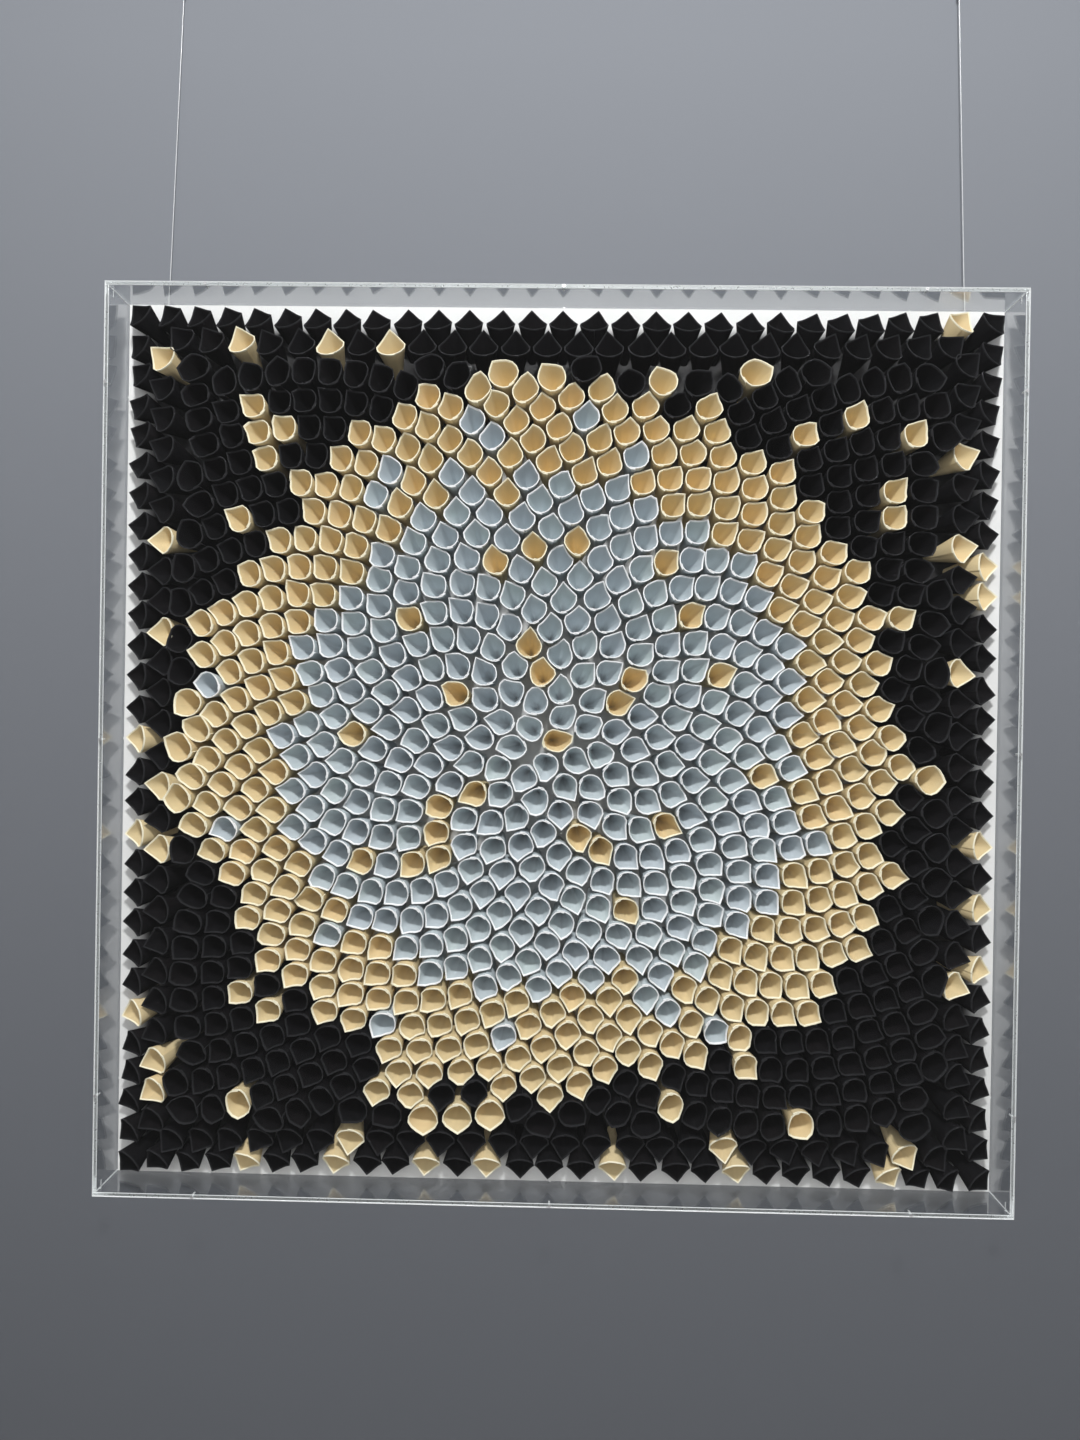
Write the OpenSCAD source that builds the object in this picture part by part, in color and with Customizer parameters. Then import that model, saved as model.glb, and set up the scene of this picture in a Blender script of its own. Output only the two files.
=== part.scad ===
// Paper relief wall art: rolled paper cones in a sunflower spiral, in a clear screwed case on two lines.
// X runs to the right, Y into the wall and Z up; the origin is the middle of the case's back face.

/* [Case] */
// Width and height of the square case, outside
case_w = 1000; // [700:5:1400]
// Thickness of the clear sheets
sheet_t = 4; // [3:0.5:8]
// Thickness of the white backing board
board_t = 8; // [7:0.5:15]
// Room left around the backing board
board_fit = 0.3; // [0.1:0.1:1]
// Room between the highest paper tip and the front sheet
front_gap = 4; // [1:0.5:15]

/* [Paper cones] */
// Half of the angle that a cone opens by
cone_half_angle = 14.5; // [11:0.5:16]
// Height of the inner lip above the rolled point
cone_lip_h = 47; // [40:0.5:52]
// Height of the sides of the mouth above the rolled point
cone_side_h = 51; // [46:0.5:56]
// Height of the outer tip above the rolled point
cone_tip_h = 64; // [60:0.5:72]
// Length of the rolled point that is trimmed off at the board
cone_tail = 8; // [5:0.5:10]
// Thickness of the paper wall
paper_t = 0.7; // [0.3:0.1:1.2]
// Half width of the sharp part of the tip
tip_half_w = 5; // [3:0.5:8]
// Free room between the mouths of neighbours
cone_gap = 0.7; // [0.4:0.1:4]

/* [Arrangement] */
// Middle of the spiral, to the right of the board's middle
spiral_x = -13; // [-40:1:40]
// Middle of the spiral, above the board's middle
spiral_y = 6; // [-40:1:40]
// Lean of the cone at the middle
lean_middle = 6; // [2:1:12]
// Lean of the cones in the open field
lean_field = 22; // [12:1:25]
// Lean of the second row from the edge
lean_second_row = 43; // [38:1:46]
// Lean of the edge row, which lies low
lean_edge_row = 62; // [58:1:66]
// Distance from the tips of the edge row to the case walls
tip_margin = 6; // [4:0.5:20]
// Radius of the blue core
core_r = 289; // [100:1:320]
// Radius of the tan ring
ring_r = 390; // [330:1:420]

/* [Colour strays] */
// Seed of the scattered colours
stray_seed = 11; // [1:1:99]
// Share of tan cones scattered in the core
core_stray_share = 0.085; // [0:0.005:0.3]
// Share of blue cones scattered in the ring
ring_stray_share = 0.1; // [0:0.005:0.3]
// Share of tan cones scattered in the black field
field_stray_share = 0.14; // [0:0.005:0.3]

/* [Fasteners] */
// Diameter of a screw's shank
screw_d = 2; // [1.5:0.1:2.5]
// Diameter of a screw's countersunk head
screw_head_d = 3.6; // [3:0.1:4]
// Height of the countersunk head
screw_head_h = 1.2; // [0.8:0.1:1.6]
// Length of a screw, head included
screw_l = 12; // [8:0.5:20]
// Free room around a screw
screw_fit = 0.05; // [0.02:0.01:0.2]
// Distance of the corner screws behind the front sheet
corner_screw_inset = 14; // [12:0.5:30]

/* [Hanging lines] */
// Diameter of a hanging line
line_d = 1; // [0.6:0.1:2]
// Diameter of the line's hole in the top wall
line_hole_d = 2.5; // [2:0.1:4]
// Distance of each line from the side of the case
line_inset = 47; // [20:1:200]
// Height of the line's end above the case
line_rise = 355; // [100:5:600]
// How far each line leans inwards over its height
line_lean = 12; // [0:1:60]
// Diameter of the stopper knot
knot_d = 4.6; // [3:0.1:6]
// Height of the stopper knot
knot_h = 4; // [2:0.1:8]
// Diameter of the crimped sleeve
sleeve_d = 3.6; // [2.5:0.1:6]
// Length of the crimped sleeve
sleeve_h = 9; // [5:0.5:20]
// Height of the loop above its sleeve
loop_h = 18; // [10:0.5:40]
// Width of the loop
loop_w = 11; // [8:0.5:30]

/* [Hidden] */
$fn = 72;

// One overrun serves all cuts
overrun = 1;

// Shape of a cone, measured from its rolled point
cone_rise = tan(cone_half_angle);
tip_r = cone_tip_h * cone_rise;
lip_r = cone_lip_h * cone_rise;
side_r = cone_side_h * cone_rise;
paper_r = paper_t / cos(cone_half_angle);
plug_share = 2;
cone_plug = plug_share * cone_tail;
base_share = 0.4;
cone_base = base_share * cone_tail;
cone_top = cone_tip_h + overrun;
mouth_arm = cone_side_h - cone_tail;

// The rim falls along a ridge from tip to lip, steeply beside the ridge and then gently
ridge_slope = (cone_tip_h - cone_lip_h) / (tip_r + lip_r);
ridge_norm = sqrt(1 + ridge_slope * ridge_slope);
side_drop = cone_tip_h - ridge_slope * tip_r - cone_side_h;
steep_share = 0.85;
steep_drop = steep_share * side_drop;
gentle_slope = (side_drop - steep_drop) / (side_r - tip_half_w);
rim_half_w = tip_r + overrun;
rim_drop = steep_drop + gentle_slope * (rim_half_w - tip_half_w);
rim_run = tip_r + lip_r;
rim_clear = cone_tip_h;

// Room that a leaning cone takes beside and behind its neighbours
lip_reach = cone_lip_h / cos(cone_half_angle);
lip_level = lip_reach * cos(lean_field - cone_half_angle);
radial_pitch = lip_level * (tan(lean_field + cone_half_angle) - tan(lean_field - cone_half_angle)) + cone_gap;
side_pitch = 2 * side_r + cone_gap;
cell_share = 1.05;
spiral_step = sqrt(cell_share * radial_pitch * side_pitch / PI);
golden_angle = 180 * (3 - sqrt(5));

// Depth of the case, from the back face forwards
tip_level = cone_tip_h * cos(lean_middle) - tip_r * sin(lean_middle) - cone_tail * cos(lean_middle);
relief_d = tip_level + front_gap;
wall_d = board_t + relief_d;
case_d = wall_d + 2 * sheet_t;
case_half = case_w / 2;
inner_half = case_half - sheet_t;
board_half = inner_half - board_fit;
board_face_y = -(sheet_t + board_t);

// Rows along the edges, and the square that the spiral fills inside them
row_share = 0.95;
row_step = row_share * radial_pitch;
edge_line = inner_half - tip_margin;
second_line = edge_line - row_step;
row_lines = [edge_line, second_line];
row_leans = [lean_edge_row, lean_second_row];
row_pitch_share = 1.3;
row_pitch = row_pitch_share * side_pitch;
field_share = 1.53;
field_half = second_line - field_share * radial_pitch;

// The second row is shifted by half a pitch, and keeps a little clear of the corners
row_shift_shares = [0, 0.5];
row_reach_shares = [1, 0.988];
corner_fan = 45;
fan_power = 2;
spiral_n = ceil(2 * pow(field_half + max(abs(spiral_x), abs(spiral_y)), 2) / pow(spiral_step, 2));

// Wobble of the colour borders, as shares of the radius
border_shares = [0.03, 0.025];
border_waves = [3, 5];
border_turns = [40, 100];

// Places of the screws along an edge, and of the wall's middle
screw_shares = [-0.39, 0, 0.39];
wall_mid = case_half - sheet_t / 2;
corner_screw_y = -case_d + sheet_t + corner_screw_inset;
pilot_l = screw_l + overrun;

// Line holes stand over pockets cut into the back of the board
pocket_w = 3 * knot_d;
pocket_h = 3 * knot_h;
pocket_room = 1.4;
pocket_d = knot_d + pocket_room;
line_x = case_half - line_inset;
line_y = -sheet_t - pocket_d / 2;
line_top = case_half + line_rise;
line_sides = 8;
loop_steps = 24;
leg_share = 0.6;
loop_leg = leg_share * line_d;
knot_waist_share = 0.6;
sleeve_edge_share = 0.8;

clear_tint = [0.86, 0.93, 0.95, 0.25];
board_white = [0.93, 0.93, 0.92];
paper_blue = [0.60, 0.65, 0.69];
paper_tan = [0.86, 0.74, 0.55];
paper_black = [0.05, 0.05, 0.06];
screw_steel = [0.75, 0.75, 0.76];
line_clear = [0.85, 0.87, 0.88];

// A place for a cone: foot on the board, heading of its tip, and lean from upright
function spiral_r(n) = spiral_step * sqrt(n + 0.5);
function spiral_heading(n) = golden_angle * n;
function field_lean(r) = lean_middle + (lean_field - lean_middle) * min(1, r / ring_r);
function foot_r(r) = r - mouth_arm * sin(field_lean(r));
function spiral_mouth(n) = [
  spiral_x + spiral_r(n) * cos(spiral_heading(n)),
  spiral_y + spiral_r(n) * sin(spiral_heading(n))
];
function in_field(n) = let (m = spiral_mouth(n)) max(abs(m.x), abs(m.y)) <= field_half;
function spiral_place(n) = let (r = spiral_r(n), a = spiral_heading(n)) [
  spiral_x + foot_r(r) * cos(a),
  spiral_y + foot_r(r) * sin(a),
  a,
  field_lean(r)
];

// Rows are diagonal in the corners and straighten towards the middle of the edge
function tip_run(lean) = (cone_tip_h - cone_tail) * sin(lean) + tip_r * cos(lean);
function row_count(row) = round(2 * row_lines[row] / row_pitch);
function row_heading(t) = 90 - corner_fan * sign(t) * pow(abs(t), fan_power);
function row_place(row, side, i) = let (
  line = row_lines[row],
  lean = row_leans[row],
  t = row_reach_shares[row] * (2 * (i + row_shift_shares[row]) / row_count(row) - 1),
  a = row_heading(t),
  foot = [t * line - tip_run(lean) * cos(a), line - tip_run(lean) * sin(a)],
  turn = -90 * side
) [
  foot.x * cos(turn) - foot.y * sin(turn),
  foot.x * sin(turn) + foot.y * cos(turn),
  a + turn,
  lean
];
function row_places(row) = [
  for (side = [0:3], i = [0:row_count(row) - 1]) row_place(row, side, i)
];

// Colour of each cone: 0 blue, 1 tan, 2 black
spiral_draw = rands(0, 1, spiral_n, stray_seed);
edge_places = row_places(0);
second_places = row_places(1);
second_draw = rands(0, 1, len(second_places), stray_seed + 1);
edge_draw = rands(0, 1, len(edge_places), stray_seed + 2);
function border(a) = 1 + border_shares[0] * sin(border_waves[0] * a + border_turns[0])
  + border_shares[1] * sin(border_waves[1] * a + border_turns[1]);
function zone(n) = let (r = spiral_r(n) * border(spiral_heading(n))) r < core_r ? 0 : r < ring_r ? 1 : 2;
function stray_share(z) = [core_stray_share, ring_stray_share, field_stray_share][z];
function is_stray(n) = spiral_draw[n] < stray_share(zone(n));
function is_row_stray(draw) = draw < field_stray_share;
function spiral_group(z, parity) = [
  for (n = [0:spiral_n - 1]) if (n % 2 == parity && in_field(n) && zone(n) == z && !is_stray(n)) spiral_place(n)
];
function spiral_strays(z) = [
  for (n = [0:spiral_n - 1]) if (in_field(n) && zone(n) == z && is_stray(n)) spiral_place(n)
];
function row_group(places, draws, stray) = [
  for (i = [0:len(places) - 1]) if (is_row_stray(draws[i]) == stray) places[i]
];

// A tube along a planar or straight route: rings of points, joined side by side
function ring_frame(route, i) = let (
  a = route[max(i - 1, 0)],
  b = route[min(i + 1, len(route) - 1)],
  along = (b - a) / norm(b - a),
  across = cross([0, 1, 0], along)
) across / norm(across);
function tube_points(route, r) = [
  for (i = [0:len(route) - 1], k = [0:line_sides - 1])
    let (turn = 360 * k / line_sides)
      route[i] + r * (cos(turn) * ring_frame(route, i) + sin(turn) * [0, 1, 0])
];
function tube_faces(rings) = concat(
  [[for (k = [0:line_sides - 1]) k]],
  [[for (k = [line_sides - 1:-1:0]) (rings - 1) * line_sides + k]],
  [
    for (i = [0:rings - 2], k = [0:line_sides - 1])
      let (n = (k + 1) % line_sides)
        [i * line_sides + n, i * line_sides + k, (i + 1) * line_sides + k, (i + 1) * line_sides + n]
  ]
);
function line_route(side) = [
  [side * line_x, line_y, inner_half],
  [side * line_x, line_y, case_half],
  [side * (line_x - line_lean), line_y, line_top - sleeve_d],
  [side * (line_x - line_lean), line_y, line_top]
];
// The loop rises from the sleeve, swells and closes at the top
function loop_x(q) = -cos(180 * q) * (loop_leg + (loop_w - 2 * loop_leg) * sin(180 * q));
function loop_point(side, x, z) = [side * (line_x - line_lean) + x, line_y, line_top + sleeve_h + z];
function loop_route(side) = concat(
  [loop_point(side, -loop_leg, 0)],
  [
    for (i = [0:loop_steps])
      let (q = i / loop_steps)
        loop_point(side, loop_x(q), line_d + (loop_h - line_d) * sin(180 * q))
  ],
  [loop_point(side, loop_leg, 0)]
);

module tube(route, r) {
  polyhedron(points = tube_points(route, r), faces = tube_faces(len(route)), convexity = 4);
}

// The hollow rolled wall, closed at its glued point
module cone_wall() {
  rotate_extrude()
    polygon([
      [0, cone_base],
      [cone_base * cone_rise, cone_base],
      [cone_top * cone_rise, cone_top],
      [cone_top * cone_rise - paper_r, cone_top],
      [cone_plug * cone_rise - paper_r, cone_plug],
      [0, cone_plug]
    ]);
}

// All that lies above the rim
module above_rim() {
  translate([tip_r, 0, cone_tip_h])
    rotate([0, 90 - atan(ridge_slope), 0])
      translate([0, 0, -2 * rim_run])
        linear_extrude(height = 3 * rim_run)
          polygon([
            [0, 0],
            [steep_drop / ridge_norm, tip_half_w],
            [rim_drop / ridge_norm, rim_half_w],
            [-rim_clear, rim_half_w],
            [-rim_clear, -rim_half_w],
            [rim_drop / ridge_norm, -rim_half_w],
            [steep_drop / ridge_norm, -tip_half_w]
          ]);
}

module below_board() {
  reach = cone_tip_h;
  translate([-reach, -reach, -reach]) cube([2 * reach, 2 * reach, reach]);
}

// The rolled seam faces the tip in the field, and the lip in the rows that lie low
function seam_turn(lean) = lean > lean_field ? 180 : 0;

// One paper cone on its place, with its foot cut flush with the board
module paper_cone(place) {
  translate([place.x, place.y, 0])
    rotate([0, 0, place[2]])
      difference() {
        rotate([0, place[3], 0])
          translate([0, 0, -cone_tail])
            rotate([0, 0, seam_turn(place[3])]) cone_wall();
        rotate([0, place[3], 0]) translate([0, 0, -cone_tail]) above_rim();
        below_board();
      }
}

// Cones stand on the board and point out of its face
module paper_cones(places) {
  translate([0, board_face_y, 0])
    rotate([90, 0, 0])
      for (place = places) paper_cone(place);
}

// A screw, or its hole, with the head's face at zero and the shank below it
module screw_shape(room, above, depth) {
  head_r = screw_head_d / 2 + room;
  shank_r = screw_d / 2 + room;
  rotate_extrude()
    polygon([
      [0, above],
      [head_r, above],
      [head_r, 0],
      [shank_r, -screw_head_h],
      [shank_r, -depth],
      [0, -depth]
    ]);
}

module screw() {
  point_share = 0.85;
  rotate_extrude()
    polygon([
      [0, 0],
      [screw_head_d / 2, 0],
      [screw_d / 2, -screw_head_h],
      [screw_d / 2, -point_share * screw_l],
      [0, -screw_l]
    ]);
}

module screw_hole() {
  screw_shape(screw_fit, overrun, pilot_l);
}

// Twelve places round a face, three along each edge
module round_the_edge() {
  for (turn = [0:90:270])
    rotate([0, turn, 0])
      for (share = screw_shares)
        translate([share * case_w, 0, wall_mid]) children();
}

module on_front() {
  translate([0, -case_d, 0]) round_the_edge() rotate([90, 0, 0]) children();
}

module on_back() {
  round_the_edge() rotate([-90, 0, 0]) children();
}

// Corner screws pass down through the top wall and up through the bottom wall
module on_corners() {
  for (side = [-1, 1], up = [0, 180])
    rotate([up, 0, 0])
      translate([side * wall_mid, (up == 0 ? 1 : -1) * corner_screw_y, case_half]) children();
}

module case_holes() {
  on_front() screw_hole();
  on_back() screw_hole();
  on_corners() screw_hole();
  line_holes();
}

module line_holes() {
  for (side = [-1, 1])
    translate([side * line_x, line_y, inner_half - overrun])
      cylinder(d = line_hole_d, h = sheet_t + 2 * overrun);
}

module panel(y) {
  translate([-case_half, y, -case_half]) cube([case_w, sheet_t, case_w]);
}

module front_panel() {
  color(clear_tint)
    difference() {
      panel(-case_d);
      on_front() screw_hole();
    }
}

module back_panel() {
  color(clear_tint)
    difference() {
      panel(-sheet_t);
      on_back() screw_hole();
    }
}

module top_wall() {
  color(clear_tint)
    difference() {
      translate([-case_half, -sheet_t - wall_d, inner_half]) cube([case_w, wall_d, sheet_t]);
      case_holes();
    }
}

module bottom_wall() {
  color(clear_tint)
    difference() {
      translate([-case_half, -sheet_t - wall_d, -case_half]) cube([case_w, wall_d, sheet_t]);
      case_holes();
    }
}

module side_wall(side) {
  color(clear_tint)
    difference() {
      translate([side * wall_mid - sheet_t / 2, -sheet_t - wall_d, -inner_half])
        cube([sheet_t, wall_d, 2 * inner_half]);
      case_holes();
    }
}

module left_wall() {
  side_wall(-1);
}

module right_wall() {
  side_wall(1);
}

module backing_board() {
  color(board_white)
    difference() {
      translate([-board_half, board_face_y, -board_half]) cube([2 * board_half, board_t, 2 * board_half]);
      for (side = [-1, 1])
        translate([side * line_x - pocket_w / 2, -sheet_t - pocket_d, board_half - pocket_h])
          cube([pocket_w, pocket_d + overrun, pocket_h + overrun]);
    }
}

module blue_odd_cones() {
  color(paper_blue) paper_cones(spiral_group(0, 1));
}

module blue_even_cones() {
  color(paper_blue) paper_cones(spiral_group(0, 0));
}

module tan_odd_cones() {
  color(paper_tan) paper_cones(spiral_group(1, 1));
}

module tan_even_cones() {
  color(paper_tan) paper_cones(spiral_group(1, 0));
}

module black_odd_cones() {
  color(paper_black) paper_cones(spiral_group(2, 1));
}

module black_even_cones() {
  color(paper_black) paper_cones(spiral_group(2, 0));
}

module black_second_row() {
  color(paper_black) paper_cones(row_group(second_places, second_draw, false));
}

module black_edge_row() {
  color(paper_black) paper_cones(row_group(edge_places, edge_draw, false));
}

module tan_strays() {
  color(paper_tan)
    paper_cones(concat(
      spiral_strays(0),
      spiral_strays(2),
      row_group(second_places, second_draw, true),
      row_group(edge_places, edge_draw, true)
    ));
}

module blue_strays() {
  color(paper_blue) paper_cones(spiral_strays(1));
}

module front_screws() {
  color(screw_steel) on_front() screw();
}

module back_screws() {
  color(screw_steel) on_back() screw();
}

module corner_screws() {
  color(screw_steel) on_corners() screw();
}

module hanging_line(side) {
  color(line_clear) tube(line_route(side), line_d / 2);
}

// The stopper knot bears on the underside of the top wall
module knot(side) {
  color(line_clear)
    translate([side * line_x, line_y, inner_half - knot_h])
      rotate_extrude()
        polygon([
          [0, 0],
          [knot_waist_share * knot_d / 2, 0],
          [knot_d / 2, knot_h / 2],
          [knot_waist_share * knot_d / 2, knot_h],
          [0, knot_h]
        ]);
}

module sleeve(side) {
  color(screw_steel)
    translate([side * (line_x - line_lean), line_y, line_top])
      rotate_extrude()
        polygon([
          [0, 0],
          [sleeve_edge_share * sleeve_d / 2, 0],
          [sleeve_d / 2, (1 - sleeve_edge_share) * sleeve_d],
          [sleeve_d / 2, sleeve_h - (1 - sleeve_edge_share) * sleeve_d],
          [sleeve_edge_share * sleeve_d / 2, sleeve_h],
          [0, sleeve_h]
        ]);
}

module hanging_loop(side) {
  color(line_clear) tube(loop_route(side), line_d / 2);
}

module left_line() {
  hanging_line(-1);
}

module right_line() {
  hanging_line(1);
}

module left_knot() {
  knot(-1);
}

module right_knot() {
  knot(1);
}

module left_sleeve() {
  sleeve(-1);
}

module right_sleeve() {
  sleeve(1);
}

module left_loop() {
  hanging_loop(-1);
}

module right_loop() {
  hanging_loop(1);
}

front_panel();
back_panel();
top_wall();
bottom_wall();
left_wall();
right_wall();
backing_board();
blue_odd_cones();
blue_even_cones();
tan_odd_cones();
tan_even_cones();
black_odd_cones();
black_even_cones();
black_second_row();
black_edge_row();
tan_strays();
blue_strays();
front_screws();
back_screws();
corner_screws();
left_line();
right_line();
left_knot();
right_knot();
left_sleeve();
right_sleeve();
left_loop();
right_loop();
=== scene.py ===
import math
import random
import bpy
import numpy as np
from mathutils import Matrix, Vector


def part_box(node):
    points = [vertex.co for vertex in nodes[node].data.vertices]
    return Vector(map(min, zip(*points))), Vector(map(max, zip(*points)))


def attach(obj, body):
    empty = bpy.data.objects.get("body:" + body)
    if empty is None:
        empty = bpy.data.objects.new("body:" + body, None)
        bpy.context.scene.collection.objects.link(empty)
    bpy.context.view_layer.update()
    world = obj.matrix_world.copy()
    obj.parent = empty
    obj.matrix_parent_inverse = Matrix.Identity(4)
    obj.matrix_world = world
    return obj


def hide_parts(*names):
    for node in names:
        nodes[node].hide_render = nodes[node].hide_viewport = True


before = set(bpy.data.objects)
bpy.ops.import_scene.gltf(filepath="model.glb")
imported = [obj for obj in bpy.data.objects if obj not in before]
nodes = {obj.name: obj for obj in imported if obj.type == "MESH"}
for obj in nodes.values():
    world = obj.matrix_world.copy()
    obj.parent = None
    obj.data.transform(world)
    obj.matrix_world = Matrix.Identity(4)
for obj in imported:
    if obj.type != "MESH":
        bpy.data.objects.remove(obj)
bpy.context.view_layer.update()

mm = 0.001
print("frame loaded:", len(nodes), "nodes")


# small helpers

def clearSelection():
    if bpy.context.object and bpy.context.object.mode != "OBJECT":
        bpy.ops.object.mode_set(mode="OBJECT")
    bpy.ops.object.select_all(action="DESELECT")


def pick(ob):
    clearSelection()
    ob.select_set(True)
    bpy.context.view_layer.objects.active = ob


def editAll(ob):
    pick(ob)
    bpy.ops.object.mode_set(mode="EDIT")
    bpy.ops.mesh.select_all(action="SELECT")


def leaveEdit():
    bpy.ops.object.mode_set(mode="OBJECT")


def dress(ob, slotName, *materials):
    for k, material in enumerate(materials):  # in place, so that each face keeps its slot
        if k < len(ob.data.materials):
            ob.data.materials[k] = material
        else:
            ob.data.materials.append(material)


def settle(ob, slotName, materials, *replaced):
    dress(ob, slotName, *materials)
    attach(ob, "root")
    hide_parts(*replaced)


def smooth(ob, degrees):
    pick(ob)
    bpy.ops.object.shade_smooth_by_angle(angle=math.radians(degrees))


def joinAll(objects, name):
    clearSelection()
    for ob in objects:
        ob.select_set(True)
    bpy.context.view_layer.objects.active = objects[0]
    bpy.ops.object.join()
    whole = bpy.context.object
    whole.name = name
    whole.data.name = name
    return whole


# camera and light

camera = dict(
    place=(0.00687, -1.27110, 0.03487),
    right=(0.999651, 0.020988, 0.016024),
    up=(-0.016124, 0.004604, 0.999859),
    lens=27.68,
)

bpy.ops.object.camera_add()
cam = bpy.context.object
cam.name = "photoCamera"
right, up = Vector(camera["right"]), Vector(camera["up"])
turn = Matrix((right, up, right.cross(up))).transposed().to_4x4()
cam.matrix_world = Matrix.Translation(camera["place"]) @ turn
cam.data.sensor_fit = "AUTO"
cam.data.sensor_width = 36
cam.data.lens = camera["lens"]
bpy.context.scene.camera = cam
bpy.context.scene.view_settings.view_transform = "Standard"

lamps = {
    "overheadLamp": dict(place=(0.15, -2.0, 1.95), target=(0, 0, -0.1), size=(0.36, 0.22), watts=63, mirrored=True),
    "frontFill": dict(place=(-0.3, -3.2, 0.7), target=(0, 0, 0), size=(3.0, 2.2), watts=28, mirrored=False),
}

for lampName, lamp in lamps.items():
    bpy.ops.object.light_add(type="AREA", location=lamp["place"])
    light = bpy.context.object
    light.name = lampName
    aim = Vector(lamp["target"]) - Vector(lamp["place"])
    light.rotation_euler = aim.to_track_quat("-Z", "Y").to_euler()
    light.data.shape = "RECTANGLE"
    light.data.size, light.data.size_y = lamp["size"]
    light.data.energy = lamp["watts"]
    light.visible_glossy = light.visible_transmission = lamp["mirrored"]

sky = dict(overhead=0.7, level=0.36, below=0.26, behindCamera=0.08, dimFrom=(-0.55, -0.85))

world = bpy.data.worlds.new("softRoom")
bpy.context.scene.world = world
world.use_nodes = True
wn, wl = world.node_tree.nodes, world.node_tree.links
background = wn["Background"]
coords = wn.new("ShaderNodeTexCoord")
axes = wn.new("ShaderNodeSeparateXYZ")
wl.new(coords.outputs["Generated"], axes.inputs[0])
rise = wn.new("ShaderNodeMapRange")
rise.inputs["From Min"].default_value = -1
wl.new(axes.outputs["Z"], rise.inputs["Value"])
shade = wn.new("ShaderNodeValToRGB")
for k, (spot, name) in enumerate(((0.3, "below"), (0.55, "level"), (0.9, "overhead"))):
    stop = shade.color_ramp.elements[k] if k < 2 else shade.color_ramp.elements.new(spot)
    stop.position = spot
    stop.color = (sky[name], sky[name], sky[name] * 1.02, 1)
wl.new(rise.outputs["Result"], shade.inputs["Fac"])
front = wn.new("ShaderNodeMapRange")  # the dim side of the room, behind the camera
front.inputs["From Min"].default_value, front.inputs["From Max"].default_value = sky["dimFrom"]
wl.new(axes.outputs["Y"], front.inputs["Value"])
dim = wn.new("ShaderNodeMix")
dim.data_type = "RGBA"
dim.inputs["B"].default_value = (sky["behindCamera"], sky["behindCamera"], sky["behindCamera"], 1)
wl.new(front.outputs["Result"], dim.inputs["Factor"])
wl.new(shade.outputs["Color"], dim.inputs["A"])
wl.new(dim.outputs["Result"], background.inputs["Color"])

room = dict(
    wallY=0.0015, floorZ=-1.25, width=9, height=6, depth=1.3, wallGrey=(0.215, 0.228, 0.252),
    wallShade=(0.105, 0.111, 0.124), shadeFrom=(0.8, -0.8), floorGrey=(0.62, 0.62, 0.61),
)


def stageMaterial(name, colour, oneSided):
    mat = bpy.data.materials.new(name)
    mat.use_nodes = True
    n, l = mat.node_tree.nodes, mat.node_tree.links
    shader = n["Principled BSDF"]
    shader.inputs["Base Color"].default_value = (*colour, 1)
    shader.inputs["Roughness"].default_value = 0.85
    shader.inputs["Specular IOR Level"].default_value = 0.2
    if oneSided:  # seen only from the room, so the back of the piece is lit and can be looked at
        geometry = n.new("ShaderNodeNewGeometry")
        at = n.new("ShaderNodeSeparateXYZ")
        fall = n.new("ShaderNodeMapRange")  # painted shade: the wall's paint gets darker towards the floor, as if lit from above
        fall.inputs["From Min"].default_value, fall.inputs["From Max"].default_value = room["shadeFrom"]
        paint = n.new("ShaderNodeMix")
        paint.data_type = "RGBA"
        paint.inputs["A"].default_value = (*colour, 1)
        paint.inputs["B"].default_value = (*room["wallShade"], 1)
        l.new(geometry.outputs["Position"], at.inputs[0])
        l.new(at.outputs["Z"], fall.inputs["Value"])
        l.new(fall.outputs["Result"], paint.inputs["Factor"])
        l.new(paint.outputs["Result"], shader.inputs["Base Color"])
        path = n.new("ShaderNodeLightPath")
        clear = n.new("ShaderNodeBsdfTransparent")
        mix = n.new("ShaderNodeMixShader")
        passing = geometry.outputs["Backfacing"]
        for ray in ("Is Shadow Ray", "Is Diffuse Ray"):
            either = n.new("ShaderNodeMath")
            either.operation = "MAXIMUM"
            l.new(passing, either.inputs[0])
            l.new(path.outputs[ray], either.inputs[1])
            passing = either.outputs[0]
        l.new(passing, mix.inputs["Fac"])
        l.new(shader.outputs[0], mix.inputs[1])
        l.new(clear.outputs[0], mix.inputs[2])
        l.new(mix.outputs[0], n["Material Output"].inputs["Surface"])
    return mat


clearSelection()
wallMidZ = room["floorZ"] + room["height"] / 2
bpy.ops.mesh.primitive_plane_add(size=1, location=(0, room["wallY"], wallMidZ), rotation=(math.pi / 2, 0, 0))
wall = bpy.context.object
wall.name = "roomWall"
wall.scale = (room["width"], room["height"], 1)
wall.data.materials.append(stageMaterial("wallPaint", room["wallGrey"], True))
clearSelection()
bpy.ops.mesh.primitive_plane_add(size=1, location=(0, room["wallY"] - room["depth"] / 2, room["floorZ"]))
floor = bpy.context.object
floor.name = "roomFloor"
floor.scale = (room["width"], room["depth"], 1)
floor.data.materials.append(stageMaterial("floorPaint", room["floorGrey"], False))
print("camera, lamps and room made")


# shared shader groups

def newGroup(name, ins, outs):
    group = bpy.data.node_groups.new(name, "ShaderNodeTree")
    for socketName, kind, value in ins:
        socket = group.interface.new_socket(socketName, in_out="INPUT", socket_type=kind)
        if value is not None:
            socket.default_value = value
    for socketName, kind in outs:
        group.interface.new_socket(socketName, in_out="OUTPUT", socket_type=kind)
    return group, group.nodes.new("NodeGroupInput"), group.nodes.new("NodeGroupOutput")


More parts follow.
